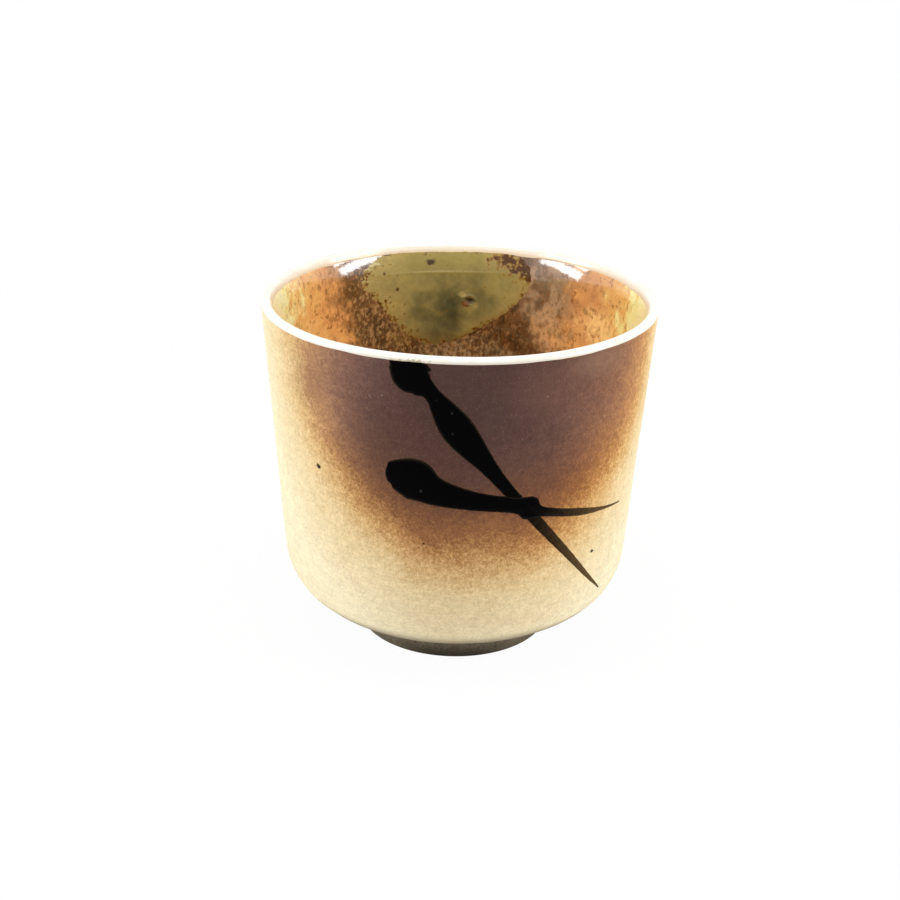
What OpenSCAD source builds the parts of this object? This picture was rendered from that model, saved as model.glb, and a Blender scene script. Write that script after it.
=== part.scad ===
// Handmade stoneware teacup. A thrown clay bowl stands on a luted foot ring. A matt coat covers
// the outside, a glossy liner the inside and a pale band the lip. An ash-glaze splash runs down
// the inside of the back, and two crossed brush strokes in thick black glaze mark the front.
// The origin is on the table under the cup's axis, +Z is up and -Y is the painted front.

/* [Cup] */
// Outside diameter at the lip, over the glaze
rim_d = 80; // [72:0.5:92]
// Height from the table to the top of the lip
cup_h = 72.5; // [66:0.5:84]
// Angle that the wall leans outwards, in degrees
wall_lean = 4.2; // [1:0.1:7]
// Outside radius of the round shoulder above the foot
shoulder_r = 12.5; // [9:0.5:15]
// Angle that the underside rises from the foot to the shoulder, in degrees
underside_rise = 24; // [18:1:32]

/* [Lip] */
// Radius of the rounded lip, over the glaze
lip_r = 1; // [0.8:0.05:1.1]
// Height over which the inside eases out to the lip
ease_h = 8; // [6:0.5:10]

/* [Clay] */
// Thickness of the clay wall
wall_t = 2.5; // [2:0.1:3.5]
// Thickness of the clay floor
floor_t = 4.5; // [3.5:0.1:6]
// Radius at which the inside wall turns into the floor, over the glaze
well_r = 14; // [10:0.5:17]

/* [Foot] */
// Outside diameter of the foot ring where it meets the table
foot_d = 40.8; // [36:0.2:46]
// Height of the foot ring
foot_h = 5; // [4:0.1:7]
// Width of the ring where it meets the table
foot_w = 4; // [3:0.1:6]
// Angle that both sides of the ring widen upwards, in degrees
foot_flare = 13; // [5:1:20]
// Chamfer on both bottom edges of the ring
foot_chamfer = 0.6; // [0.3:0.1:1]

/* [Glaze] */
// Thickness of the matt coat outside
coat_t = 0.3; // [0.2:0.05:0.6]
// Thickness of the glossy liner inside
liner_t = 0.4; // [0.2:0.05:0.7]
// Depth of the pale band below the top of the lip
rim_band_h = 1.3; // [0.8:0.1:1.5]
// Thickness of the ash-glaze splash on the liner
ash_t = 0.25; // [0.15:0.05:0.5]
// Thickness of the brush strokes on the coat
stroke_t = 0.3; // [0.15:0.05:0.5]

/* [Hidden] */
$fn = 96;

// Unit vectors out of the finished wall, up it, and out of the underside
wall_out = [cos(wall_lean), -sin(wall_lean)];
wall_up = [sin(wall_lean), cos(wall_lean)];
under_out = [sin(underside_rise), -cos(underside_rise)];

// Thickness of the wall with both of its coats, centre of the rounded lip and lower edge of its band
full_t = wall_t + coat_t + liner_t;
lip_c = [rim_d / 2 - lip_r, cup_h - lip_r];
rim_band_z = cup_h - rim_band_h;

// Distances of the finished wall and underside from the origin, along their normals
wall_d = wall_out * lip_c + lip_r;
foot_top_r = foot_d / 2 + foot_h * tan(foot_flare);
under_d = under_out * [foot_top_r, foot_h];

// Centres of the shoulder's arc outside and of the well's arc inside
shoulder_c = meet(wall_out, wall_d - shoulder_r, under_out, under_d - shoulder_r);
well_z = foot_h + floor_t + liner_t;
well_c = meet(wall_out, wall_d - full_t - well_r, [0, 1], well_z + well_r);

// Arc that leaves the inside wall at ease_foot and touches the lip's round
ease_foot = [wall_radius(cup_h - ease_h, full_t), cup_h - ease_h];
ease_to_lip = lip_c - ease_foot;
ease_r = (ease_to_lip * ease_to_lip - lip_r * lip_r) / (2 * (wall_out * ease_to_lip - lip_r));
ease_c = ease_foot + ease_r * wall_out;

// Round of the bare clay's lip, which touches the clay's outside and its eased inside
clay_lip_r = lip_r - (coat_t + liner_t) / 2;
clay_lip_in = ease_r - full_t + coat_t + clay_lip_r;
clay_lip_up = sqrt(pow(ease_r - liner_t - clay_lip_r, 2) - pow(clay_lip_in, 2));
clay_lip_c = ease_c - clay_lip_in * wall_out + clay_lip_up * wall_up;

// Length that carries a cut clear of what it cuts
clear = 10;

// Stations along the brush strokes, placed by hand where the brush swells, thins or turns. Each has
// the way round the lip from the front, the drop below the top of the lip and half the mark's width.
long_stroke = [
    [-9, 0.5, 3.5], [-8.5, 3.5, 3.8], [-6.75, 5.25, 2.5], [-4.5, 7.25, 1.6], [0, 13.75, 3.1],
    [6, 21.25, 1.75], [10.5, 26.75, 1.25], [16.5, 33.5, 1.2], [24, 41.5, 0.95], [32, 49.5, 0.6],
    [38.25, 55, 0.2]];
short_stroke = [
    [-14, 24, 0.5], [-13.5, 24, 1.75], [-12, 24, 3.1], [-8, 24.75, 4.4], [-4, 26.75, 3],
    [3, 28.5, 2], [12, 30, 1.7], [15.25, 31, 2.4], [18.25, 32.25, 1.1], [28, 34.5, 0.85],
    [36, 36, 0.4], [42.75, 37, 0.15]];

// Stations round the splash's edge, placed by hand where it bulges or draws in. Each has the way
// round the lip from the back and the drop below the top of the lip.
ash_edge = [
    [-26, 7], [-20.5, 2], [-5, 1.6], [13, 1.6], [18, 5], [17, 9.5], [12, 14.5], [3.5, 19.75],
    [-3, 22.5], [-9, 22.5], [-15.5, 18.5], [-20.5, 13]];

// Steps between two stations
brush_steps = 6;

// Point where two lines meet, each given by its unit normal and its distance from the origin
function meet(n1, d1, n2, d2) =
    let (k = n1.x * n2.y - n1.y * n2.x)
    [(d1 * n2.y - d2 * n1.y) / k, (n1.x * d2 - n2.x * d1) / k];

// Point on a smooth curve through four stations, between the second and the third
function between(a, b, c, d, t) =
    b + t / 2 * (c - a + t * (2 * a - 5 * b + 4 * c - d + t * (3 * (b - c) + d - a)));

// Smooth run of stations, open or closed
function smooth(p, closed = false) =
    let (n = len(p), last = closed ? n - 1 : n - 2)
    let (at = function (i) p[closed ? (i + n) % n : max(0, min(n - 1, i))])
    [for (i = [0:last], k = [0:brush_steps - 1])
        between(at(i - 1), at(i), at(i + 1), at(i + 2), k / brush_steps),
     if (!closed) p[n - 1]];

// Radius of a straight wall at height z, measured skin below the finished outside
function wall_radius(z, skin) = (wall_d - skin - wall_out.y * z) / wall_out.x;

// Place seen square on, across the cup and up, of a way round the lip and a drop below it
function seen(round, drop, skin) =
    let (z = cup_h - drop, turn = round / (rim_d / 2) * 180 / PI)
    [wall_radius(z, skin) * sin(turn), z];

// Outline of a brush stroke seen from the front: down one edge and back up the other
function stroke_outline(stations) =
    let (p = smooth(stations), n = len(p))
    let (edge = function (i, sign)
        let (a = p[max(0, i - 1)], b = p[min(n - 1, i + 1)])
        let (along = [b[0] - a[0], b[1] - a[1]])
        let (across = sign * p[i][2] / norm(along) * [along.y, -along.x])
        seen(p[i][0] + across.x, p[i][1] + across.y, 0))
    [for (i = [0:n - 1]) edge(i, 1), for (i = [n - 1:-1:0]) edge(i, -1)];

// Half section, filled to the axis and up to a lip's centre, whose surface lies skin below the
// finished outside. From the centre on, its top runs to where the lip's round meets the ease.
module outside_half(skin, centre) {
    r = shoulder_r - skin;
    base = meet(under_out, under_d - skin, [0, 1], foot_h);
    top = centre + (wall_d - skin - wall_out * centre) * wall_out;
    within = centre - (ease_c - centre) / norm(ease_c - centre) * clear;
    polygon([[0, foot_h], base, shoulder_c + r * under_out, shoulder_c,
             shoulder_c + r * wall_out, top, centre, within, [0, within.y]]);
    translate(shoulder_c) circle(r);
}

// Half section of the hollow, filled to the axis, whose surface lies inset inside the finished liner
module hollow_half(inset) {
    r = well_r - inset;
    foot = ease_foot - inset * wall_out;
    polygon([[0, well_z + inset], [well_c.x, well_z + inset], well_c,
             well_c + r * wall_out, foot, [0, foot.y]]);
    intersection() {
        translate(well_c) circle(r);
        translate(well_c - [0, r]) square([r, 2 * r]);
    }
    difference() {
        translate([0, foot.y]) square([ease_c.x, ease_h + clear]);
        translate(ease_c) circle(ease_r + inset);
    }
}

// Half section of a bowl between two depths below the finished outside and inside, with its lip
module bowl_half(out_depth, in_depth, centre, round) {
    difference() {
        outside_half(out_depth, centre);
        hollow_half(-in_depth);
    }
    translate(centre) circle(round);
}

// Half section of the bare clay
module clay_half() {
    bowl_half(coat_t, liner_t, clay_lip_c, clay_lip_r);
}

// Half section of all the coats round the clay, above or below the rim band's edge
module coats_half(above) {
    intersection() {
        difference() {
            bowl_half(0, 0, lip_c, lip_r);
            clay_half();
        }
        translate([0, above ? rim_band_z : rim_band_z - cup_h]) square([rim_d, cup_h]);
    }
}

module clay_body() {
    color("#b79e7c")
    rotate_extrude() clay_half();
}

module foot_ring() {
    inner_r = foot_d / 2 - foot_w;
    widen = foot_h * tan(foot_flare);
    edge = foot_chamfer * tan(foot_flare);
    color("#6f6553")
    rotate_extrude()
    polygon([[inner_r + foot_chamfer, 0], [foot_d / 2 - foot_chamfer, 0],
             [foot_d / 2 + edge, foot_chamfer], [foot_top_r, foot_h],
             [inner_r - widen, foot_h], [inner_r - edge, foot_chamfer]]);
}

module outer_coat() {
    color("#e2cf9f")
    rotate_extrude()
    difference() {
        coats_half(above = false);
        hollow_half(-liner_t - clay_lip_r);
    }
}

module liner_glaze() {
    color("#b9772f")
    rotate_extrude()
    intersection() {
        coats_half(above = false);
        hollow_half(-liner_t - clay_lip_r);
    }
}

module rim_glaze() {
    color("#f7f1e2")
    rotate_extrude() coats_half(above = true);
}

// The splash is the part of a thin skin on the liner that lies behind its outline
module ash_splash() {
    edge = [for (s = smooth(ash_edge, closed = true)) seen(s[0], s[1], full_t)];
    color("#8f8244")
    intersection() {
        rotate_extrude()
        difference() {
            hollow_half(0);
            hollow_half(ash_t);
        }
        rotate([90, 0, 0]) translate([0, 0, -rim_d]) linear_extrude(rim_d) polygon(edge);
    }
}

// A skin on the outer coat, from the underside up to the rim band
module stroke_skin() {
    rotate_extrude()
    intersection() {
        difference() {
            outside_half(-stroke_t, lip_c);
            outside_half(0, lip_c);
        }
        square([rim_d, rim_band_z]);
    }
}

// What lies behind a stroke's outline, seen from the front
module stroke_prism(stations) {
    rotate([90, 0, 0]) linear_extrude(rim_d) polygon(stroke_outline(stations));
}

// The long stroke was laid first, so it is cut where the short one crosses it
module long_brush_stroke() {
    color("#120f0d")
    difference() {
        intersection() {
            stroke_skin();
            stroke_prism(long_stroke);
        }
        stroke_prism(short_stroke);
    }
}

module short_brush_stroke() {
    color("#0e0c0b")
    intersection() {
        stroke_skin();
        stroke_prism(short_stroke);
    }
}

clay_body();
foot_ring();
outer_coat();
liner_glaze();
rim_glaze();
ash_splash();
long_brush_stroke();
short_brush_stroke();
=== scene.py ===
import math

import bmesh
import bpy
from mathutils import Matrix, Vector, noise


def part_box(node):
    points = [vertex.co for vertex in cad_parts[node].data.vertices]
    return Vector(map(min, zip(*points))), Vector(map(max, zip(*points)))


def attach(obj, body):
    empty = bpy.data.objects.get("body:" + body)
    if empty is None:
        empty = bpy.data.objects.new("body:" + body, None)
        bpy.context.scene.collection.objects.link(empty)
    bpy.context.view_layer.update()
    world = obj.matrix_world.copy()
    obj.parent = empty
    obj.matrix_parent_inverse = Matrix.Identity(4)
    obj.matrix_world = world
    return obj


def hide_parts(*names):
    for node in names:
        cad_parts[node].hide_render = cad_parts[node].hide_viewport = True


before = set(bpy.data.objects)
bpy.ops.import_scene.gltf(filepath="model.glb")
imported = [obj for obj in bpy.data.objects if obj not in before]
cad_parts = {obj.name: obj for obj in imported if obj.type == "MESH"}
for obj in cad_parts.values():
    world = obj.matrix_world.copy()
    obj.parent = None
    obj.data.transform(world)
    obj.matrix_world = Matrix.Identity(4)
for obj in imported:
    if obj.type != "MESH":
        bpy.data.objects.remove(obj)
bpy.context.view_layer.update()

# Handmade stoneware teacup. A thrown bowl stands on a foot ring, with a matt coat outside, a glossy
# liner inside, a pale band on the lip, a green splash of ash glaze and two black brush strokes.
# Lengths are in millimetres until a mesh, lamp or camera is made, and -Y is the painted front.

MM = 0.001


def corners(node):
    """Lowest and highest corner of a CAD node, in millimetres."""
    low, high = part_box(node)
    return low / MM, high / MM


# Sizes that the CAD nodes in model.glb give
RIM_R = corners("rim_glaze")[1].x
CUP_H = corners("rim_glaze")[1].z
FOOT_TOP_R = corners("foot_ring")[1].x
FOOT_H = corners("foot_ring")[1].z

# Sizes inside the pieces
WALL_LEAN = math.radians(4.2)
SHOULDER_R = 12.5
UNDERSIDE_RISE = math.radians(24)
LIP_R = 1
EASE_H = 8
WALL_T = 2.5
FLOOR_T = 4.5
WELL_R = 14
FOOT_W = 4
FOOT_FLARE = math.radians(13)
FOOT_EDGE = 0.6
COAT_T = 0.3
LINER_T = 0.4
ASH_T = 0.25
STROKE_T = 0.3

# Drop of the pale band's edge below the top of the lip, outside and inside
BAND_OUTSIDE = 1.05
BAND_INSIDE = 1.7

# Stations along the brush strokes: the way round the lip from the front, the drop below the top of the
# lip and half the mark's width
LONG_STROKE = [
    (-9, 0.5, 3.5), (-8.5, 3.5, 3.8), (-6.75, 5.25, 2.5), (-4.5, 7.25, 1.6), (0, 13.75, 3.1),
    (6, 21.25, 1.75), (10.5, 26.75, 1.25), (16.5, 33.5, 1.2), (24, 41.5, 0.95), (32, 49.5, 0.6),
    (38.25, 55, 0.2)]
SHORT_STROKE = [
    (-14, 24, 0.5), (-13.5, 24, 1.75), (-12, 24, 3.1), (-8, 24.75, 4.4), (-4, 26.75, 3),
    (3, 28.5, 2), (12, 30, 1.7), (15.25, 31, 2.4), (18.25, 32.25, 1.1), (28, 34.5, 0.85),
    (36, 36, 0.4), (42.75, 37, 0.15)]

# Drop of the long stroke's ragged head, and small glints painted on both strokes: the way round, drop and
# radius
HEAD_TOP = 1.0
GLINTS = [(-3.9, 8, 0.3), (-0.9, 10.4, 0.3), (-0.8, 14.6, 0.4), (-6.8, 26.8, 0.4)]

# Stations round the splash's edge: the way round the lip from the back and the drop below its top
ASH_EDGE = [
    (-26, 7), (-20.5, 2), (-5, 1.6), (13, 1.6), (18, 5), (17, 9.5), (12, 14.5), (3.5, 19.75),
    (-3, 22.5), (-9, 22.5), (-15.5, 18.5), (-20.5, 13)]

# Burst bubble in the splash, drop of the ridge across it, and its darker pools: the way round from the
# back, the drop, the reach across and up and the share of the darker colour
BUBBLE = Vector((2.3, 12.4))
ASH_RIDGE = 5.8
ASH_POOLS = [(-2.5, 14.5, 6, 7, 0.9), (-11, 14, 3, 4, 0.4), (5, 11.5, 4, 4, 0.6), (-6, 20, 8, 6, 0.5)]

# Patches of other colours in the liner: the way round from the back, the drop, the reach across and up,
# the share of the colour, and the colour as on a screen
LINER_PATCHES = [
    (0, 25, 16, 4, 1.0, (176, 148, 114)), (-15, 20.5, 5, 3, 0.8, (170, 138, 82)),
    (24, 18, 6, 5, 0.85, (220, 168, 116)), (-28.5, 6, 3.5, 6, 0.75, (72, 44, 20)),
    (40.5, 13.5, 8, 4.5, 0.95, (255, 208, 136))]

# Radius of the sprayed cloud, the place of its middle and its iron spots: the way round from the front, the
# height and a spot's radius
CLOUD_R = 39
CLOUD_C = (5, 70)
IRON_SPOTS = [(-30.6, 45.9, 0.7), (33.4, 27.5, 0.65), (-6.3, 34.3, 0.22)]

# Patches where the cloud is thinner or denser: the way round from the front, the height, the reach across
# and up, the share of the colour, and the colour as on a screen
COAT_PATCHES = [
    (20, 66, 11, 8, 0.4, (128, 92, 82)), (30, 69.5, 9, 4, 0.4, (160, 130, 112)),
    (-31, 63.5, 7, 7, 0.3, (112, 74, 60))]

# Marks of the potter's hand: the height of a relief and the distance from one line of it to the next
COAT_LINE_H = 0.028
COAT_LINE_PITCH = 2.3
COAT_LUMP_H = 0.07
COAT_SAND_H = 0.02
FINGER_H = 0.06
FINGER_PITCH = 6
FLOOR_SPIRAL_H = 0.03
FLOOR_SPIRAL_PITCH = 5.5
LINER_LUMP_H = 0.05
FOOT_LUMP_H = 0.07
FOOT_GRIT_H = 0.04
TRIM_SPIRAL_H = 0.12
TRIM_SPIRAL_PITCH = 2.1
TRIM_LUMP_H = 0.08
BAND_LIFT = 0.06
BAND_DIP = 0.05

# How far a layer runs on under the next one, and how deep the hidden side of a mark lies
COAT_LAP = 0.4
BAND_LAP = 0.35
ASH_LAP = 0.35
STROKE_SUNK = 0.2
ASH_SUNK = 0.12
EDGE_SUNK = 0.02

# Length over which a ragged head turns into its stroke
HEAD_L = 3.5

# Fineness of the meshes
TURNS = 288
STEP = 0.45
LIP_STEP = 0.08
EASE_STEP = 0.25
EDGE_STEP = 0.1
STROKE_STEPS = 26
STROKE_COLUMNS = 26
ASH_STEPS = 40
ASH_RINGS = 64
TINY = 1e-6


# Profile of the cup, as points at a radius and a height

def meet(n1, d1, n2, d2):
    """Point where two lines meet, each given by its unit normal and its distance from the origin."""
    k = n1.x * n2.y - n1.y * n2.x
    return Vector(((d1 * n2.y - d2 * n1.y) / k, (n1.x * d2 - n2.x * d1) / k))


def towards(angle):
    """Unit vector at an angle in the plane of the profile."""
    return Vector((math.cos(angle), math.sin(angle)))


UP = Vector((0, 1))
WALL_OUT = towards(-WALL_LEAN)
UNDER_OUT = towards(UNDERSIDE_RISE - math.pi / 2)
FULL_T = WALL_T + COAT_T + LINER_T
LIP_C = Vector((RIM_R - LIP_R, CUP_H - LIP_R))
WALL_D = WALL_OUT.dot(LIP_C) + LIP_R
UNDER_D = UNDER_OUT.dot(Vector((FOOT_TOP_R, FOOT_H)))
SHOULDER_C = meet(WALL_OUT, WALL_D - SHOULDER_R, UNDER_OUT, UNDER_D - SHOULDER_R)
SHOULDER_TOP = (SHOULDER_C + SHOULDER_R * WALL_OUT).y
WELL_Z = FOOT_H + FLOOR_T + LINER_T
WELL_C = meet(WALL_OUT, WALL_D - FULL_T - WELL_R, UP, WELL_Z + WELL_R)

# Arc that eases the inside out from the wall to the lip's round
EASE_FOOT = meet(WALL_OUT, WALL_D - FULL_T, UP, CUP_H - EASE_H)
EASE_TO_LIP = LIP_C - EASE_FOOT
EASE_R = (EASE_TO_LIP.length_squared - LIP_R ** 2) / (2 * (WALL_OUT.dot(EASE_TO_LIP) - LIP_R))
EASE_C = EASE_FOOT + EASE_R * WALL_OUT
EASE_TOP = math.atan2(LIP_C.y - EASE_C.y, LIP_C.x - EASE_C.x)


def straight(a, b, step=STEP):
    """Points from a to b."""
    count = max(1, round((b - a).length / step))
    return [a.lerp(b, i / count) for i in range(count + 1)]


def arc(centre, radius, start, end, step=STEP):
    """Points round an arc between two angles."""
    count = max(3, round(abs(end - start) * radius / step))
    return [centre + radius * towards(start + (end - start) * i / count) for i in range(count + 1)]


def joined(*runs):
    """One run of points, without those that repeat where two runs meet."""
    points = []
    for run in runs:
        points += [p for p in run if not points or (p - points[-1]).length > TINY]
    return points


def outside(skin):
    """Outside from the foot up to the top of the lip, skin below the finished surface."""
    r = SHOULDER_R - skin
    base = meet(UNDER_OUT, UNDER_D - skin, UP, FOOT_H)
    return joined(
        straight(base, SHOULDER_C + r * UNDER_OUT),
        arc(SHOULDER_C, r, UNDERSIDE_RISE - math.pi / 2, -WALL_LEAN),
        straight(SHOULDER_C + r * WALL_OUT, LIP_C + (LIP_R - skin) * WALL_OUT),
        arc(LIP_C, LIP_R - skin, -WALL_LEAN, math.pi / 2, LIP_STEP))


def inside(skin):
    """Inside from the top of the lip down to the axis, skin behind the finished surface."""
    r = WELL_R + skin
    floor = Vector((WELL_C.x, WELL_Z - skin))
    return joined(
        arc(LIP_C, LIP_R - skin, math.pi / 2, EASE_TOP, LIP_STEP),
        arc(EASE_C, EASE_R - skin, EASE_TOP, math.pi - WALL_LEAN, EASE_STEP),
        straight(EASE_FOOT + skin * WALL_OUT, WELL_C + r * WALL_OUT),
        arc(WELL_C, r, -WALL_LEAN, -math.pi / 2),
        straight(floor, Vector((0, floor.y))))


def below(run, drop):
    """Points of a run that lie more than a drop below the top of the lip."""
    return [p for p in run if CUP_H - p.y > drop]


def above(run, drop):
    """Points of a run that lie less than a drop below the top of the lip."""
    return [p for p in run if CUP_H - p.y < drop]


# The potter's hand: small departures from a true round

def ramp_up(value, low, high):
    """Smooth step from 0 at low to 1 at high."""
    t = min(1, max(0, (value - low) / (high - low)))
    return t * t * (3 - 2 * t)


def around(turn, r, z):
    """Point at a turn from the front, a radius and a height, moved as the thrown bowl is out of true."""
    lift = (z / CUP_H) ** 2
    r *= 1 + lift * (0.0018 * math.cos(2 * turn + 0.9) + 0.001 * math.cos(3 * turn + 2.1))
    z += lift * lift * (0.1 * math.cos(2 * turn + 0.4) + 0.05 * math.cos(5 * turn + 1))
    return Vector((r * math.sin(turn), -r * math.cos(turn), z))


def uneven(turn, at, size, seed):
    """Smooth random height from -1 to 1 on lumps of a size."""
    return noise.noise(around(turn, at.x, at.y) / size + Vector((seed, 0, 0)))


def finger_marks(turn, z, pitch):
    """Height from -1 to 1 of the marks that climb a thrown wall in a spiral."""
    return math.sin(math.tau * z / pitch - turn)


def coat_relief(turn, at):
    """Faint throwing lines and unevenness of the coat outside."""
    fade = ramp_up(at.y, FOOT_H, FOOT_H + 6) * ramp_up(CUP_H - at.y, 1, 5)
    lines = COAT_LINE_H * finger_marks(turn, at.y, COAT_LINE_PITCH) * (0.6 + uneven(turn, at, 14, 1))
    lumps = COAT_LUMP_H * uneven(turn, at, 11, 2)
    sand = COAT_SAND_H * uneven(turn, at, 2.5, 3)
    return fade * (lines + lumps + sand)


def liner_relief(turn, at):
    """Finger marks up the inside, and the spiral that they start from on the floor."""
    wall = ramp_up(at.y, WELL_Z + 8, WELL_Z + 20) * ramp_up(CUP_H - at.y, 9, 22)
    floor = ramp_up(WELL_Z + 3 - at.y, 0, 3) * ramp_up(at.x, 0, 3) * ramp_up(24 - at.x, 0, 10)
    marks = FINGER_H * wall * finger_marks(turn, at.y, FINGER_PITCH)
    spiral = FLOOR_SPIRAL_H * floor * math.sin(math.tau * at.x / FLOOR_SPIRAL_PITCH + turn)
    lumps = LINER_LUMP_H * (wall + floor) * uneven(turn, at, 9, 4)
    return marks + spiral + lumps


def foot_relief(turn, at):
    """Worn and slightly ragged surface of the turned foot."""
    lumps = FOOT_LUMP_H * uneven(turn, at, 3, 5)
    grit = FOOT_GRIT_H * uneven(turn, at, 1.2, 6)
    return ramp_up(at.y, 0, 1.2) * (lumps + grit)


def base_relief(turn, at):
    """Spiral left by the trimming tool on the base inside the foot."""
    inside_foot = ramp_up(15.5 - at.x, 0, 2) * ramp_up(FOOT_H + 0.5 - at.y, 0, 0.3)
    spiral = TRIM_SPIRAL_H * math.sin(math.tau * at.x / TRIM_SPIRAL_PITCH + turn)
    lumps = TRIM_LUMP_H * uneven(turn, at, 3, 7)
    return inside_foot * ramp_up(at.x, 0, 1.5) * (spiral + lumps)


def band_relief(turn, at):
    """Rounded and wandering edges of the pale band. Past them the band dips under its neighbours."""
    edge = BAND_OUTSIDE if at.x > LIP_C.x else BAND_INSIDE
    reach = edge + 0.15 * uneven(turn, LIP_C, 6, 8) - (CUP_H - at.y)
    return BAND_LIFT * math.sqrt(ramp_up(reach, 0, 0.4)) - BAND_DIP * ramp_up(-reach, 0, 0.1)


# Pieces

def piece(name, shape, material, node):
    """Object made of a closed mesh, which stands for a CAD node. A shape is its vertices, its faces and,
    where its material asks for it, how near each vertex is to the edge."""
    vertices, faces, *edge = shape
    mesh = bpy.data.meshes.new(name)
    mesh.from_pydata([v * MM for v in vertices], [], faces)
    turned = bmesh.new()
    turned.from_mesh(mesh)
    bmesh.ops.recalc_face_normals(turned, faces=turned.faces)
    turned.to_mesh(mesh)
    turned.free()
    mesh.shade_smooth()
    for values in edge:
        mesh.attributes.new("edge", "FLOAT", "POINT").data.foreach_set("value", values)
    mesh.materials.append(material)
    made = bpy.data.objects.new(name, mesh)
    bpy.context.collection.objects.link(made)
    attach(made, "root")
    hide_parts(node)


def normals(run):
    """Unit normals to the right of the way along a run of points."""
    ends = [run[0]] + run + [run[-1]]
    ways = [(ends[i + 2] - ends[i]).normalized() for i in range(len(run))]
    return [Vector((way.y, -way.x)) for way in ways]


def lathe(shown, hidden=(), relief=None):
    """Closed surface turned from a shown profile with relief and a plain one that leads back to its start."""
    offsets = normals(shown) + [None] * len(hidden)
    rings, vertices, faces = [], [], []
    for at, normal in zip(list(shown) + list(hidden), offsets):
        if at.x < TINY:
            rings.append([len(vertices)] * TURNS)
            vertices.append(Vector((0, 0, at.y)))
            continue
        rings.append(range(len(vertices), len(vertices) + TURNS))
        for i in range(TURNS):
            turn = math.tau * i / TURNS
            p = at + relief(turn, at) * normal if relief and normal else at
            vertices.append(around(turn, p.x, p.y))
    for a, b in zip(rings, rings[1:] + rings[:1]):
        for i in range(TURNS):
            j = (i + 1) % TURNS
            face = list(dict.fromkeys((a[i], a[j], b[j], b[i])))
            if len(face) > 2:
                faces.append(face)
    return vertices, faces


def clay_bowl():
    """Bare clay of the bowl, from the middle of its base round the lip to the middle of its floor."""
    wall = outside(COAT_T)
    base = straight(Vector((0, FOOT_H)), wall[0])
    return lathe(joined(base, wall, inside(LINER_T)), relief=base_relief)


def turned_foot():
    """Foot ring with softened edges, from the inside of its top round its face to the outside."""
    inner_r = FOOT_TOP_R - FOOT_H * math.tan(FOOT_FLARE) - FOOT_W
    outer_r = inner_r + FOOT_W
    inner_top = Vector((inner_r - FOOT_H * math.tan(FOOT_FLARE), FOOT_H))
    outer_top = Vector((FOOT_TOP_R, FOOT_H))
    inner_c = Vector((inner_r + FOOT_EDGE, FOOT_EDGE))
    outer_c = Vector((outer_r - FOOT_EDGE, FOOT_EDGE))
    inner_edge = arc(inner_c, FOOT_EDGE, math.pi + FOOT_FLARE, math.pi * 1.5, EDGE_STEP)
    outer_edge = arc(outer_c, FOOT_EDGE, -math.pi / 2, -FOOT_FLARE, EDGE_STEP)
    shown = joined(
        straight(inner_top, inner_edge[0]), inner_edge, outer_edge, straight(outer_edge[-1], outer_top))
    return lathe(shown, relief=foot_relief)


def outer_coat():
    """Matt coat from the foot up to under the pale band."""
    lap = BAND_OUTSIDE - COAT_LAP
    return lathe(below(outside(0), lap), below(outside(COAT_T), lap)[::-1], coat_relief)


def liner():
    """Glossy liner from under the pale band down to the middle of the floor."""
    lap = BAND_INSIDE - COAT_LAP
    return lathe(below(inside(0), lap), below(inside(LINER_T), lap)[::-1], liner_relief)


def lip_band():
    """Pale glaze over the lip."""
    outer, inner = BAND_OUTSIDE + BAND_LAP, BAND_INSIDE + BAND_LAP
    over = joined(above(outside(0), outer), above(inside(0), inner))
    under = joined(above(outside(COAT_T), outer), above(inside(LINER_T), inner))
    return lathe(over, under[::-1], band_relief)


# Strokes and splash, on surfaces that follow the wall

def smooth(stations, steps, closed=False):
    """Smooth run of points through stations, open or closed."""
    points = [Vector(s) for s in stations]
    count = len(points)

    def at(i):
        return points[i % count] if closed else points[max(0, min(count - 1, i))]

    run = []
    for i in range(count if closed else count - 1):
        a, b, c, d = at(i - 1), at(i), at(i + 1), at(i + 2)
        for k in range(steps):
            t = k / steps
            run.append(b + t / 2 * (c - a + t * (2 * a - 5 * b + 4 * c - d + t * (3 * (b - c) + d - a))))
    return run if closed else run + [points[-1]]


def on_outside(along, drop, lift):
    """Point on the outside at a way round the lip from the front and a drop, lifted off the coat."""
    turn, z = along / RIM_R, CUP_H - drop
    if z > SHOULDER_TOP:
        normal = WALL_OUT
        at = meet(WALL_OUT, WALL_D, UP, z)
    else:
        normal = towards(math.asin((z - SHOULDER_C.y) / SHOULDER_R))
        at = SHOULDER_C + SHOULDER_R * normal
    p = at + (lift + coat_relief(turn, at)) * normal
    return around(turn, p.x, p.y)


def on_inside(along, drop, lift):
    """Point on the inside at a way round the lip from the back and a drop, lifted off the liner."""
    turn, z = math.pi - along / RIM_R, CUP_H - drop
    if z > EASE_FOOT.y:
        normal = towards(math.pi - math.asin((z - EASE_C.y) / EASE_R))
        at = EASE_C + EASE_R * normal
    else:
        normal = -WALL_OUT
        at = meet(WALL_OUT, WALL_D - FULL_T, UP, z)
    p = at + (lift + liner_relief(turn, at)) * normal
    return around(turn, p.x, p.y)


def flat_noise(along, drop, size, seed=0.0):
    """Smooth random height from -1 to 1 on the unrolled wall."""
    return noise.noise(Vector((along / size, drop / size, seed)))


def mark_height(spine, along, drop):
    """Height of a stroke's glaze at a place on the unrolled wall."""
    near = min(spine, key=lambda s: (s.x - along) ** 2 + (s.y - drop) ** 2)
    share = math.hypot(near.x - along, near.y - drop) / near.z
    return STROKE_T * (1 - share ** 3) if share < 1 else 0


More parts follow.
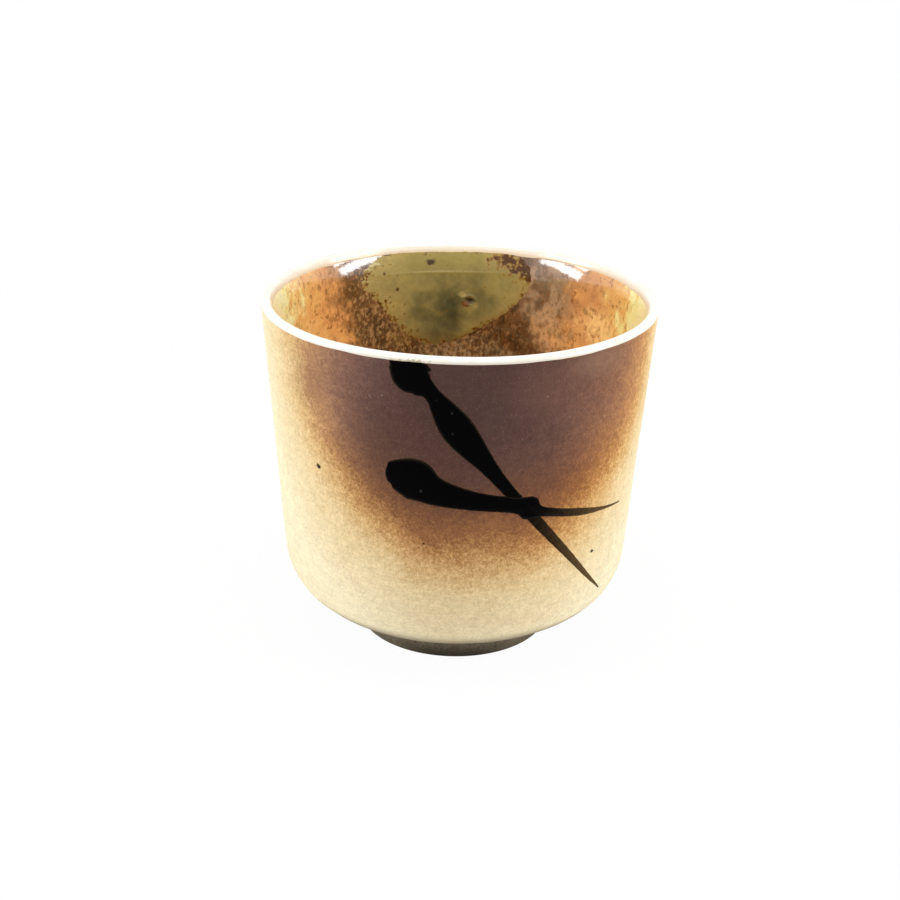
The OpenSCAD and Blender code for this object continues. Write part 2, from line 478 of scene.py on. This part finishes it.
def brush_stroke(stations, top=0.0, beneath=()):
    """Ribbon of thick glaze with a rounded section. Top is the drop at which it starts with a level and
    ragged head, if it has one, and beneath is the spine of a stroke that it crosses."""
    spine = [s for s in smooth(stations, STROKE_STEPS) if s.y > top]
    hidden = (1, -1)
    count = STROKE_COLUMNS + 1 + len(hidden)
    vertices, nearness, length = [], [], 0
    for i, s in enumerate(spine):
        before, after = spine[max(0, i - 1)], spine[min(len(spine) - 1, i + 1)]
        length += math.hypot(s.x - before.x, s.y - before.y)
        head = 1 - ramp_up(length, 0, HEAD_L) if top else 0
        way = Vector((after.x - before.x, after.y - before.y)).normalized().lerp(UP, head).normalized()
        full = STROKE_T * min(1, 0.25 + s.z / 1.6) * math.sqrt(ramp_up(length, -0.1, 0.8))
        spread = 0.15 * ramp_up(s.z, 1, 2.5)
        for k in range(STROKE_COLUMNS + 1):
            share = 2 * k / STROKE_COLUMNS - 1
            side = math.copysign(3, share)
            wander = 0.06 * min(1, s.z) * flat_noise(length, side, 1.4)
            ragged = 0.3 * head * flat_noise(length, side, 0.5)
            across = share * (s.z + wander + ragged + spread)
            hair = head * (0.7 * abs(flat_noise(share, 9, 0.3)) + 0.5 * abs(flat_noise(share, 5, 0.12)))
            along = s.x + across * way.y + hair * way.x
            drop = s.y - across * way.x + hair * way.y
            body = (1 - abs(share) ** 3) * (1 + 0.18 * flat_noise(along, drop, 2.5, 4))
            lift = full * body + (mark_height(beneath, along, drop) * 0.8 if beneath else 0)
            vertices.append(on_outside(along, drop, lift - EDGE_SUNK))
            nearness.append(abs(share))
        for share in hidden:
            nearness.append(1)
            vertices.append(on_outside(s.x + share * s.z * way.y, s.y - share * s.z * way.x, -STROKE_SUNK))
    last = len(vertices) - count
    faces = [list(range(count)), list(range(last, last + count))]
    for row in range(0, last, count):
        for i in range(count):
            j = (i + 1) % count
            faces.append((row + i, row + j, row + count + j, row + count + i))
    return vertices, faces, nearness


def ash_height(place, share):
    """Height of the ash glaze: rounded at its edge, thicker where it ran, with a fine ridge near the lip
    and a burst bubble."""
    away = Vector(((place.x - BUBBLE.x) / 1.5, place.y - BUBBLE.y)).length
    crater = 0.12 * math.exp(-((away - 1.05) / 0.3) ** 2) - 0.2 * math.exp(-(away / 0.65) ** 2)
    run = 0.12 * ramp_up(place.y, 10, 21)
    ridge = 0.03 * math.exp(-((place.y - ASH_RIDGE) / 0.25) ** 2)
    lumps = 0.05 * flat_noise(place.x, place.y, 4)
    return (ASH_T + run + ridge + lumps) * (1 - share ** 7) + crater * ramp_up(1 - share, 0, 0.2)


def ash_patch():
    """Closed patch of glaze on the liner, on rings from the burst bubble out to its ragged edge."""
    edge = smooth(ASH_EDGE, ASH_STEPS, closed=True)
    count = len(edge)
    vertices, faces, nearness = [], [], []
    for shown in (True, False):
        middle = len(vertices)
        nearness.append(0)
        vertices.append(on_inside(*BUBBLE, ash_height(BUBBLE, 0) if shown else -ASH_SUNK))
        for k in range(1, ASH_RINGS + 1):
            share = (k / ASH_RINGS) ** 1.25
            for e in edge:
                ragged = 0.035 * flat_noise(*e, 1.7) + 0.025 * flat_noise(*e, 0.7)
                place = BUBBLE + (e - BUBBLE) * share * (1 + ragged * share ** 4)
                place.y = max(place.y, BAND_INSIDE - ASH_LAP)
                nearness.append(share)
                lift = ash_height(place, share) - EDGE_SUNK if shown else -ASH_SUNK
                vertices.append(on_inside(*place, lift))
        for i in range(count):
            j = (i + 1) % count
            faces.append((middle, middle + 1 + i, middle + 1 + j))
            for a in range(middle + 1, middle + 1 + (ASH_RINGS - 1) * count, count):
                faces.append((a + i, a + j, a + count + j, a + count + i))
    shown_edge, hidden_edge = middle - count, len(vertices) - count
    for i in range(count):
        j = (i + 1) % count
        faces.append((shown_edge + i, shown_edge + j, hidden_edge + j, hidden_edge + i))
    return vertices, faces, nearness


# Materials

def srgb(red, green, blue):
    """Linear colour of one written as on a screen, from 0 to 255."""
    def linear(value):
        value /= 255
        return value / 12.92 if value < 0.04045 else ((value + 0.055) / 1.055) ** 2.4
    return (linear(red), linear(green), linear(blue), 1)


class Surface:
    """A material of shader nodes, with short calls for the nodes that these glazes use."""

    def __init__(self, name, **constants):
        self.material = bpy.data.materials.new(name)
        self.material.use_nodes = True
        self.tree = self.material.node_tree
        self.shader = self.tree.nodes["Principled BSDF"]
        for key, value in constants.items():
            self.shader.inputs[key.replace("_", " ")].default_value = value
        place = self.add("ShaderNodeTexCoord").outputs["Object"]
        self.place = self.vector("SCALE", place, scale=1 / MM)
        axes = self.add("ShaderNodeSeparateXYZ", Vector=self.place).outputs
        self.x, self.y, self.z = axes["X"], axes["Y"], axes["Z"]

    def add(self, kind, settings=None, **inputs):
        node = self.tree.nodes.new(kind)
        for key, value in (settings or {}).items():
            setattr(node, key, value)
        for key, value in inputs.items():
            self.feed(node.inputs[key], value)
        return node

    def feed(self, socket, value):
        if isinstance(value, bpy.types.NodeSocket):
            self.tree.links.new(value, socket)
        else:
            socket.default_value = value

    def math(self, operation, a, b=0.0):
        node = self.add("ShaderNodeMath", {"operation": operation})
        self.feed(node.inputs[0], a)
        self.feed(node.inputs[1], b)
        return node.outputs[0]

    def vector(self, operation, a, b=None, scale=None):
        node = self.add("ShaderNodeVectorMath", {"operation": operation})
        self.feed(node.inputs[0], a)
        if b is not None:
            self.feed(node.inputs[1], b)
        if scale is not None:
            node.inputs["Scale"].default_value = scale
        return node.outputs[0]

    def span(self, value, low, high, out_low=0.0, out_high=1.0):
        node = self.add("ShaderNodeMapRange", {"interpolation_type": "SMOOTHSTEP"}, Value=value)
        for key, number in zip(("From Min", "From Max", "To Min", "To Max"), (low, high, out_low, out_high)):
            node.inputs[key].default_value = number
        return node.outputs[0]

    def noise(self, scale, detail=2.0, stretch=None, seed=0.0, roughness=0.5):
        """Random value about 0.5, with scale in lumps per millimetre and stretch as a share along x, y, z."""
        place = self.vector("ADD", self.place, (seed, seed, 0))
        if stretch:
            place = self.vector("MULTIPLY", place, stretch)
        node = self.add("ShaderNodeTexNoise", Vector=place, Scale=scale, Detail=detail, Roughness=roughness)
        return node.outputs["Fac"]

    def specks(self, scale, share, size):
        """1 on round specks, with scale in cells per millimetre, the share of the cells that have a speck and
        its size as a radius in cells."""
        node = self.add("ShaderNodeTexVoronoi", Vector=self.place, Scale=scale)
        chosen = self.span(self.add("ShaderNodeSeparateColor", Color=node.outputs["Color"]).outputs[0],
                           share, share * 0.98)
        return self.math("MULTIPLY", chosen, self.span(node.outputs["Distance"], size, size * 0.4))

    def ramp(self, value, stops):
        node = self.add("ShaderNodeValToRGB", Fac=value)
        elements = node.color_ramp.elements
        while len(elements) < len(stops):
            elements.new(0.5)
        for element, (position, colour) in zip(elements, stops):
            element.position = position
            element.color = colour
        return node.outputs["Color"]

    def mix(self, share, a, b, blend="MIX"):
        node = self.add("ShaderNodeMix", {"data_type": "RGBA", "blend_type": blend})
        for socket, value in ((node.inputs[0], share), (node.inputs[6], a), (node.inputs[7], b)):
            self.feed(socket, value)
        return node.outputs[2]

    def round_from(self, front):
        """Way round the lip in millimetres, from the front or from the back, growing towards +X."""
        depth = self.math("MULTIPLY", self.y, -1.0 if front else 1.0)
        return self.math("MULTIPLY", self.math("ARCTAN2", self.x, depth), RIM_R)

    def radius(self):
        """Distance from the cup's axis in millimetres."""
        return self.length(self.x, self.y)

    def length(self, a, b):
        """Length of a way that goes a along one axis and b along another."""
        return self.math("SQRT", self.math("ADD", self.math("MULTIPLY", a, a), self.math("MULTIPLY", b, b)))

    def far(self, way, along, height, across=1.0, up=1.0):
        """Distance on the unrolled wall from a place, in shares of a reach across and a reach up."""
        a = self.math("DIVIDE", self.math("SUBTRACT", way, along), across)
        b = self.math("DIVIDE", self.math("SUBTRACT", self.z, height), up)
        return self.length(a, b)

    def stirred(self, value, noise, reach):
        """Value moved up or down by as much as a reach, with a random value about 0.5."""
        return self.math("ADD", value, self.span(noise, 0.2, 0.8, -reach, reach))

    def tint(self, colour, value, low, high):
        """Colour made darker or lighter by a value about 0.5."""
        grey = self.span(value, 0.3, 0.7, low, high)
        shade = self.add("ShaderNodeCombineColor", Red=grey, Green=grey, Blue=grey).outputs[0]
        return self.mix(1.0, colour, shade, "MULTIPLY")

    def finish(self, colour, roughness=None, bump=None, depth=0.0):
        self.feed(self.shader.inputs["Base Color"], colour)
        if roughness is not None:
            self.feed(self.shader.inputs["Roughness"], roughness)
        if bump is not None:
            node = self.add("ShaderNodeBump", Strength=1.0, Distance=depth * MM, Height=bump)
            self.feed(self.shader.inputs["Normal"], node.outputs["Normal"])
        return self.material


def sandy_slip():
    """Cream slip with sand in it, and a cloud of iron sprayed on the front, more purple towards the lip
    and warmer on the right."""
    s = Surface("sandy_slip", Specular_IOR_Level=0.08)
    way = s.round_from(front=True)
    grain = s.noise(3.2, 3, seed=20, roughness=0.7)
    blotch = s.noise(0.55, 4, seed=40, roughness=0.65)
    reach = s.far(way, *CLOUD_C, across=CLOUD_R, up=CLOUD_R)
    reach = s.math("MULTIPLY", reach, s.span(way, 0, -30, 1.0, 1.03))
    clump = s.noise(1.5, 2, seed=80)
    for noise_there, amount in ((s.noise(0.08), 0.04), (blotch, 0.035), (clump, 0.045), (grain, 0.06)):
        reach = s.stirred(reach, noise_there, amount)
    reach = s.math("DIVIDE", reach, 1.6)
    cream = [(0.67, srgb(216, 177, 122)), (0.76, srgb(231, 206, 158)), (1.0, srgb(244, 232, 197))]
    orange = s.ramp(reach, [
        (0.0, srgb(86, 60, 52)), (0.33, srgb(96, 65, 54)), (0.45, srgb(119, 79, 58)),
        (0.545, srgb(151, 102, 65)), (0.61, srgb(189, 139, 85))] + cream)
    purple = s.ramp(reach, [
        (0.0, srgb(86, 61, 56)), (0.22, srgb(90, 66, 61)), (0.35, srgb(111, 82, 74)),
        (0.48, srgb(143, 104, 86)), (0.61, srgb(191, 145, 102))] + cream)
    colour = s.mix(s.span(s.z, 42, 62), orange, purple)
    dense = s.far(way, -9, 55, across=15, up=15)
    colour = s.mix(s.span(dense, 1.3, 0.3, 0.0, 0.6), colour, srgb(80, 54, 47))
    for along, height, across, up, share, paint in COAT_PATCHES:
        away = s.far(way, along, height, across, up)
        colour = s.mix(s.span(away, 1.3, 0.2, 0.0, share), colour, srgb(*paint))
    warm = s.math("MULTIPLY", s.span(way, 4, 34), s.span(reach, 0.82, 0.62))
    colour = s.mix(warm, colour, (0.98, 0.89, 0.75, 1), "MULTIPLY")
    colour = s.tint(colour, grain, 0.92, 1.065)
    colour = s.tint(colour, clump, 0.97, 1.025)
    colour = s.tint(colour, blotch, 0.95, 1.04)
    colour = s.tint(colour, s.noise(1.1, 3, stretch=(0.15, 0.15, 1.5), seed=5), 0.965, 1.03)
    sand = s.noise(4.2, 2, seed=60, roughness=0.8)
    colour = s.mix(s.span(sand, 0.6, 0.7, 0.0, 0.3), colour, srgb(118, 86, 58))
    colour = s.mix(s.span(sand, 0.36, 0.26, 0.0, 0.25), colour, srgb(226, 206, 172))
    colour = s.mix(s.math("MULTIPLY", s.specks(0.32, 0.12, 0.09), 0.6), colour, srgb(104, 76, 48))
    # Near-white specks, more of them on the cream than in the cloud: partly pale grains of sand and partly
    # painted glints on the grains.
    pale = s.math("MULTIPLY", s.specks(0.43, 0.12, 0.12), s.span(reach, 0.5, 0.7, 0.1, 0.5))
    colour = s.mix(pale, colour, srgb(250, 238, 206))
    for along, height, radius in IRON_SPOTS:
        spot = s.span(s.stirred(s.far(way, along, height, 1.2), blotch, 0.3), radius, radius * 0.5)
        colour = s.mix(spot, colour, srgb(52, 38, 24))
    # Painted shade: the coat darkens to a grey brown where it turns under towards the foot.
    colour = s.mix(s.span(s.z, FOOT_H + 8.5, FOOT_H + 4, 0.0, 0.92), colour, srgb(138, 122, 101))
    rough = s.span(grain, 0.2, 0.8, 0.62, 0.85)
    return s.finish(colour, rough, bump=s.noise(2.6, 4, seed=9, roughness=0.6), depth=0.1)


def amber_liner():
    """Amber glaze, broken into rust and brown with fine veins round the splash, yellow towards the sides,
    where the palest yellow is partly painted light, more golden on the right, and pooled in an even brown on
    the floor. It has the most gloss near the lip and the least on the floor."""
    s = Surface("amber_liner", IOR=1.6)
    s.feed(s.shader.inputs["Specular IOR Level"], s.span(s.z, CUP_H - 9, CUP_H - 5, 0.3, 0.9))
    way = s.round_from(front=False)
    clouds = s.noise(0.25, 3)
    mottle = s.noise(0.5, 3, stretch=(1, 1, 0.8), seed=30, roughness=0.6)
    fleck = s.noise(0.9, 3, stretch=(1, 1, 0.8), seed=50, roughness=0.6)
    side = s.math("ABSOLUTE", s.math("ADD", way, 2.0))
    side = s.math("ADD", side, s.span(s.z, CUP_H - 8, CUP_H - 20, 0.0, 4.0))
    side = s.math("ADD", side, s.span(way, 25, 45, 0.0, -3.0))
    side = s.math("DIVIDE", s.stirred(s.stirred(side, clouds, 5), mottle, 5), 100.0)
    # Brown and amber near the splash, then pale yellow to near white at the sides, which is partly the
    # glaze's own colour and partly painted light.
    colour = s.ramp(side, [
        (0.2, srgb(114, 76, 42)), (0.28, srgb(146, 98, 56)), (0.34, srgb(224, 158, 94)),
        (0.45, srgb(236, 182, 109)), (0.52, srgb(252, 238, 166)), (0.62, srgb(254, 248, 202)),
        (0.8, srgb(250, 234, 184)), (1.0, srgb(246, 218, 160))])
    colour = s.mix(s.span(way, 38, 52), colour, (1, 0.98, 0.84, 1), "MULTIPLY")
    broken = s.span(side, 0.38, 0.26)
    grey = s.stirred(s.far(way, 22, CUP_H - 9, across=9, up=9), clouds, 0.3)
    colour = s.mix(s.span(grey, 1.1, 0.5, 0.0, 0.8), colour, srgb(178, 147, 116))
    orange = s.stirred(s.far(way, 36, CUP_H - 10, across=8, up=12), clouds, 0.3)
    colour = s.mix(s.span(orange, 1.2, 0.4, 0.0, 0.6), colour, srgb(206, 144, 92))
    low = s.math("MULTIPLY", s.span(s.z, CUP_H - 13, CUP_H - 21, 0.0, 0.8), broken)
    colour = s.mix(low, colour, srgb(98, 76, 48))
    colour = s.mix(s.math("MULTIPLY", s.span(clouds, 0.46, 0.62, 0.0, 0.7), broken), colour, srgb(92, 58, 28))
    lively = s.math("MULTIPLY", broken, s.span(way, 12, 20, 1.0, 0.55))
    colour = s.mix(s.math("MULTIPLY", s.span(mottle, 0.44, 0.6, 0.0, 0.9), lively), colour, srgb(60, 40, 19))
    colour = s.mix(s.math("MULTIPLY", s.span(fleck, 0.5, 0.34, 0.0, 0.7), lively), colour, srgb(170, 124, 80))
    rust = s.math("MULTIPLY", s.span(fleck, 0.54, 0.68), s.span(side, 0.6, 0.36, 0.15, 0.75))
    colour = s.mix(rust, colour, srgb(132, 80, 38))
    for along, drop, across, up, share, paint in LINER_PATCHES:
        away = s.stirred(s.far(way, along, CUP_H - drop, across, up), clouds, 0.4)
        patch = s.math("MULTIPLY", s.span(away, 1.3, 0.4, 0.0, share), s.span(fleck, 0.4, 0.6, 0.95, 0.25))
        colour = s.mix(patch, colour, srgb(*paint))
    vein = s.noise(1.4, 2, stretch=(1, 1, 0.75), seed=90)
    veined = s.math("MULTIPLY", broken, s.span(way, 14, 4))
    dark_veins = s.math("MULTIPLY", s.span(vein, 0.5, 0.6, 0.0, 0.5), veined)
    colour = s.mix(dark_veins, colour, srgb(62, 41, 21))
    light_veins = s.math("MULTIPLY", s.span(vein, 0.48, 0.36, 0.0, 0.5), veined)
    colour = s.mix(light_veins, colour, srgb(194, 152, 102))
    pooled = s.span(s.stirred(s.z, clouds, 9), WELL_Z + 24, WELL_Z + 6, 0.0, 0.9)
    colour = s.mix(pooled, colour, s.ramp(mottle, [(0.4, srgb(216, 160, 96)), (0.6, srgb(176, 120, 66))]))
    colour = s.tint(colour, s.noise(2.4, 3, seed=70, roughness=0.6), 0.92, 1.06)
    dull_floor = s.span(s.z, WELL_Z + 12, WELL_Z + 2, 0.0, 0.25)
    rough = s.math("ADD", s.span(clouds, 0.2, 0.8, 0.06, 0.12), dull_floor)
    return s.finish(colour, rough, bump=mottle, depth=0.03)


def white_band():
    """Thin white glaze over the lip, creamier at its edges and stained over the long stroke's head."""
    s = Surface("white_band", IOR=1.5)
    way = s.round_from(front=True)
    clouds = s.noise(0.25, 3)
    colour = s.ramp(clouds, [(0.3, srgb(236, 227, 212)), (0.6, srgb(241, 235, 224))])
    colour = s.mix(s.span(s.z, CUP_H - 0.7, CUP_H - 1.3), colour, srgb(234, 216, 188))
    stain = s.stirred(s.far(way, LONG_STROKE[0][0] + 1, CUP_H - 1.2, across=4, up=0.75), s.noise(1.6, 3), 0.5)
    stain = s.math("MULTIPLY", s.span(stain, 1.2, 0.5, 0.0, 0.85), s.span(s.radius(), LIP_C.x, LIP_C.x + 0.5))
    colour = s.mix(stain, colour, srgb(172, 156, 98))
    return s.finish(colour, s.span(clouds, 0.2, 0.8, 0.12, 0.22), bump=s.noise(0.9, 2), depth=0.03)


def ash_green():
    """Olive ash glaze with darker pools, golden flanks, a broken brown border and a burst bubble."""
    s = Surface("ash_green", IOR=1.5, Specular_IOR_Level=0.35)
    way = s.round_from(front=False)
    edge = s.add("ShaderNodeAttribute", {"attribute_name": "edge"}).outputs["Fac"]
    clouds = s.noise(0.2, 3)
    grit = s.noise(0.75, 3, seed=12, roughness=0.6)
    colour = s.ramp(clouds, [
        (0.35, srgb(132, 123, 76)), (0.5, srgb(148, 136, 84)), (0.65, srgb(160, 146, 86))])
    colour = s.mix(s.span(s.z, CUP_H - 8, CUP_H - 4, 0.0, 0.75), colour, srgb(146, 131, 58))
    for along, drop, across, up, share in ASH_POOLS:
        pool = s.stirred(s.far(way, along, CUP_H - drop, across, up), clouds, 0.3)
        colour = s.mix(s.span(pool, 1.3, 0.0, 0.0, share), colour, srgb(68, 71, 49))
    flanks = s.span(s.math("ABSOLUTE", s.math("ADD", way, 4.0)), 7, 14, 0.15, 1.0)
    golden = s.math("MULTIPLY", s.span(edge, 0.5, 0.95, 0.0, 0.7), flanks)
    colour = s.mix(golden, colour, srgb(180, 158, 96))
    colour = s.tint(colour, grit, 0.9, 1.09)
    # Painted reflection: a fine pale line along the ridge near the lip.
    line = s.far(way, -5, CUP_H - ASH_RIDGE, across=18, up=0.38)
    colour = s.mix(s.span(line, 1.0, 0.0, 0.0, 0.5), colour, srgb(206, 192, 136))
    corner = s.span(s.far(way, 15, CUP_H - 3, across=10, up=4), 1.2, 0.4, 0.0, 0.27)
    rim = s.math("MULTIPLY", s.span(edge, 0.75, 1.0, 0.0, 0.16), s.span(s.z, CUP_H - 2.5, CUP_H - 6))
    border = s.math("ADD", s.math("ADD", grit, corner), rim)
    colour = s.mix(s.span(border, 0.63, 0.73), colour, srgb(146, 110, 52))
    colour = s.mix(s.span(border, 0.7, 0.82), colour, srgb(82, 50, 16))
    colour = s.mix(s.specks(0.35, 0.25, 0.2), colour, srgb(92, 66, 30))
    grains = s.math("MULTIPLY", s.specks(0.62, 0.4, 0.3), s.span(edge, 0.45, 0.85, 0.0, 0.6))
    colour = s.mix(grains, colour, srgb(100, 66, 28))
    # A dark spot near the top, then round the burst bubble: two pale spots on its rim, which are painted
    # highlights, a rust brown patch, and a dark core, which is painted shade in its hollow.
    for along, drop, across, up, paint in (
            (-7.3, 3.7, 1.1, 0.8, srgb(64, 44, 18)),
            (BUBBLE.x - 1.6, BUBBLE.y - 1.4, 1.4, 0.8, srgb(172, 156, 100)),
            (BUBBLE.x + 1.5, BUBBLE.y + 1.1, 1.1, 0.8, srgb(166, 150, 94)),
            (BUBBLE.x - 0.7, BUBBLE.y + 0.7, 1.4, 1.1, srgb(122, 84, 40)),
            (BUBBLE.x + 0.2, BUBBLE.y - 0.1, 1.3, 0.9, srgb(54, 38, 20))):
        spot = s.stirred(s.far(way, along, CUP_H - drop, across, up), grit, 0.4)
        colour = s.mix(s.span(spot, 1.2, 0.3), colour, paint)
    return s.finish(colour, s.span(clouds, 0.2, 0.8, 0.06, 0.13), bump=clouds, depth=0.05)


def black_glaze(name, thin_from, thin_to):
    """Thick black iron glaze that is brown at its edges and thins to olive brown in its tail, between two
    places across the cup."""
    s = Surface(name, IOR=1.5, Specular_IOR_Level=0.02)
    way = s.round_from(front=True)
    edge = s.add("ShaderNodeAttribute", {"attribute_name": "edge"}).outputs["Fac"]
    bristle = s.noise(0.9, 3)
    tail = s.span(s.stirred(s.x, bristle, 1.2), thin_from, thin_to)
    thin = s.math("ADD", tail, s.span(edge, 0.82, 1.0, 0.0, 0.3))
    colour = s.ramp(thin, [
        (0.0, srgb(3, 2, 2)), (0.2, srgb(36, 27, 17)), (0.5, srgb(62, 46, 27)), (1.0, srgb(92, 71, 41))])
    # Painted glints: small pale grey spots in the black.
    for along, drop, radius in GLINTS:
        spot = s.stirred(s.far(way, along, CUP_H - drop), bristle, 0.2)
        colour = s.mix(s.span(spot, radius, 0.0, 0.0, 0.2), colour, srgb(92, 94, 92))
    return s.finish(colour, s.span(bristle, 0.2, 0.8, 0.16, 0.32), bump=bristle, depth=0.05)


def dark_foot():
    """Dry dark stoneware with paler worn grit. Painted shade makes it darker towards the table, most of all
    in the front and at the back."""
    s = Surface("dark_foot", Specular_IOR_Level=0.2)
    grit = s.noise(1.6, 4, roughness=0.7)
    colour = s.ramp(grit, [(0.3, srgb(106, 97, 80)), (0.5, srgb(138, 127, 106)), (0.7, srgb(164, 151, 128))])
    # Painted shade: darker towards the table, most of all in the front and at the back, and weaker at the
    # sides where the side lamps reach.
    shade_front_back = s.span(s.math("ABSOLUTE", s.x), 5, 13, 1.0, 0.45)
    dark = s.math("MULTIPLY", s.span(s.z, FOOT_H, 0.0, 0.0, 0.85), shade_front_back)
    colour = s.mix(dark, colour, srgb(52, 47, 39))
    colour = s.mix(s.specks(0.9, 0.3, 0.25), colour, srgb(52, 44, 34))
    return s.finish(colour, s.span(grit, 0.2, 0.8, 0.75, 0.92), bump=grit, depth=0.14)


def buff_clay():
    """Bare fired stoneware with sand in it."""
    s = Surface("buff_clay", Specular_IOR_Level=0.2)
    grit = s.noise(1.8, 4, roughness=0.7)
    colour = s.ramp(grit, [(0.3, srgb(142, 118, 86)), (0.5, srgb(176, 152, 116)), (0.7, srgb(200, 180, 144))])
    colour = s.mix(s.specks(0.8, 0.3, 0.2), colour, srgb(92, 66, 44))
    return s.finish(colour, s.span(grit, 0.2, 0.8, 0.75, 0.92), bump=grit, depth=0.14)


# Studio

# Strips of lamp on either side, which the lip shows as two pairs of streaks: the lift, height and power
SIDE_STRIPS = [(-110, 90, 1.0), (30, 130, 1.45)]


def seen_directly(tree):
    """1 on rays from the camera, or from a glossy or clear surface, and 0 on rays that carry light."""
    path = tree.nodes.new("ShaderNodeLightPath")
    total = path.outputs["Is Camera Ray"]
    for ray in ("Is Glossy Ray", "Is Transmission Ray"):
        either = tree.nodes.new("ShaderNodeMath")
        either.operation = "MAXIMUM"
        tree.links.new(total, either.inputs[0])
        tree.links.new(path.outputs[ray], either.inputs[1])
        total = either.outputs[0]
    return total


def blend(tree, share, lit, white, output):
    """Surface that is lit as usual, with a share of plain white."""
    mix = tree.nodes.new("ShaderNodeMixShader")
    tree.links.new(share, mix.inputs[0])
    tree.links.new(lit.outputs[0], mix.inputs[1])
    tree.links.new(white.outputs[0], mix.inputs[2])
    tree.links.new(mix.outputs[0], tree.nodes[output].inputs["Surface"])


def studio_world(fill):
    """White surroundings that light the cup with a soft even fill."""
    world = bpy.data.worlds.new("studio")
    world.use_nodes = True
    bpy.context.scene.world = world
    tree = world.node_tree
    light = tree.nodes["Background"]
    light.inputs["Color"].default_value = (1, 1, 1, 1)
    light.inputs["Strength"].default_value = fill
    white = tree.nodes.new("ShaderNodeBackground")
    white.inputs["Color"].default_value = (1, 1, 1, 1)
    blend(tree, seen_directly(tree), light, white, "World Output")


def floor(radius, near, far):
    """Wide white floor that keeps the cup's shadow. Near and far are the shares of plain white seen in it
    beside the cup and away from it."""
    s = Surface("white_floor", Base_Color=(0.86, 0.86, 0.85, 1), Roughness=0.9, Specular_IOR_Level=0.0)
    share = s.math("MULTIPLY", seen_directly(s.tree), s.span(s.radius(), 50, 300, near, far))
    blend(s.tree, share, s.shader, s.add("ShaderNodeEmission"), "Material Output")
    shape = bmesh.new()
    bmesh.ops.create_circle(shape, cap_ends=True, segments=96, radius=radius * MM)
    mesh = bpy.data.meshes.new("floor")
    shape.to_mesh(mesh)
    shape.free()
    mesh.materials.append(s.material)
    made = bpy.data.objects.new("floor", mesh)
    bpy.context.collection.objects.link(made)


def softbox(name, azimuth, elevation, distance, width, height, power, roll=0.0, lift=0.0):
    """Soft lamp that faces the cup, at an azimuth from the front towards +X and an elevation, turned about
    its own axis by a roll, all in degrees, and moved up its own plane by a lift."""
    lamp = bpy.data.lights.new(name, "AREA")
    lamp.shape = "RECTANGLE"
    lamp.size, lamp.size_y = width * MM, height * MM
    lamp.energy = power
    a, e = math.radians(azimuth), math.radians(elevation)
    way = Vector((math.sin(a) * math.cos(e), -math.cos(a) * math.cos(e), math.sin(e)))
    made = bpy.data.objects.new(name, lamp)
    turn = way.to_track_quat("Z", "Y").to_matrix() @ Matrix.Rotation(math.radians(roll), 3, "Z")
    made.location = (way * distance + turn @ Vector((0, lift, 0)) + Vector((0, 0, CUP_H / 2))) * MM
    made.rotation_euler = turn.to_euler()
    bpy.context.collection.objects.link(made)


def camera():
    """Camera at the photograph's view, worked out for a frame of 900 by 900 pixels."""
    frame_px = 900
    focal_px = 1514.6
    distance = 320
    elevation = math.radians(23.134)
    roll = math.radians(1.252)
    aim_px = Vector((6.4, 8.96))
    lens = bpy.data.cameras.new("camera")
    lens.sensor_width = 36
    lens.lens = focal_px / frame_px * lens.sensor_width
    lens.shift_x, lens.shift_y = -aim_px.x / frame_px, aim_px.y / frame_px
    made = bpy.data.objects.new("camera", lens)
    back = Vector((0, -math.cos(elevation), math.sin(elevation)))
    place = (back * distance + Vector((0, 0, CUP_H / 2))) * MM
    turn = Matrix.Rotation(math.pi / 2 - elevation, 4, "X") @ Matrix.Rotation(roll, 4, "Z")
    made.matrix_world = Matrix.Translation(place) @ turn
    bpy.context.collection.objects.link(made)
    bpy.context.scene.camera = made


bpy.context.scene.view_settings.view_transform = "Standard"
camera()
studio_world(fill=0.1)
floor(radius=4000, near=0.97, far=1.0)
for side in (-1, 1):
    for lift, height, power in SIDE_STRIPS:
        softbox("side_softbox", azimuth=side * 77, elevation=27, distance=620, width=360, height=height,
                power=power, roll=-side * 30, lift=lift)
softbox("top_softbox", azimuth=0, elevation=84, distance=700, width=500, height=500, power=4.1)

piece("thrown_bowl", clay_bowl(), buff_clay(), "clay_body")
piece("turned_foot", turned_foot(), dark_foot(), "foot_ring")
piece("matt_outer_coat", outer_coat(), sandy_slip(), "outer_coat")
piece("amber_inner_liner", liner(), amber_liner(), "liner_glaze")
piece("white_lip_band", lip_band(), white_band(), "rim_glaze")
piece("green_ash_splash", ash_patch(), ash_green(), "ash_splash")
piece("long_black_stroke", brush_stroke(LONG_STROKE, top=HEAD_TOP),
      black_glaze("long_black", thin_from=11, thin_to=30), "long_brush_stroke")
piece("short_black_stroke", brush_stroke(SHORT_STROKE, beneath=smooth(LONG_STROKE, STROKE_STEPS)),
      black_glaze("short_black", thin_from=15, thin_to=33), "short_brush_stroke")
